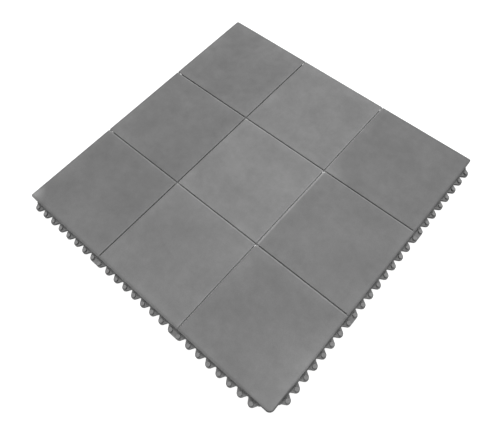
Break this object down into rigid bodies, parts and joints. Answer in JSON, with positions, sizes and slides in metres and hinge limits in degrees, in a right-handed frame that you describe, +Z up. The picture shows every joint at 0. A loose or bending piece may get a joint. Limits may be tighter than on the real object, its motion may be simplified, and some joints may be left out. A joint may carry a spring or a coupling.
{
  "type": "anti fatigue mat",
  "caption": "Square interlocking anti-fatigue floor mat: a grid of flat tread squares on a studded cushion base, with straight lap edges and lug edges carrying round locking pegs.",
  "frame": {"origin": "centre of the middle tread, on the floor", "axes": "+Z up out of the standing surface, +X and -Y out through the lug edges, -X and +Y out through the flap edges"},
  "size_m": [0.9322, 0.9322, 0.019],
  "materials": {
    "base_rubber": "matte moulded rubber",
    "tread_rubber": "matte, faintly clouded moulded rubber"
  },
  "bodies": {
    "root": {"cushion_base": "base_rubber", "tread_panel_1_1": "tread_rubber", "tread_panel_1_2": "tread_rubber", "tread_panel_1_3": "tread_rubber", "tread_panel_2_1": "tread_rubber", "tread_panel_2_2": "tread_rubber", "tread_panel_2_3": "tread_rubber", "tread_panel_3_1": "tread_rubber", "tread_panel_3_2": "tread_rubber", "tread_panel_3_3": "tread_rubber"}
  },
  "joints": []
}
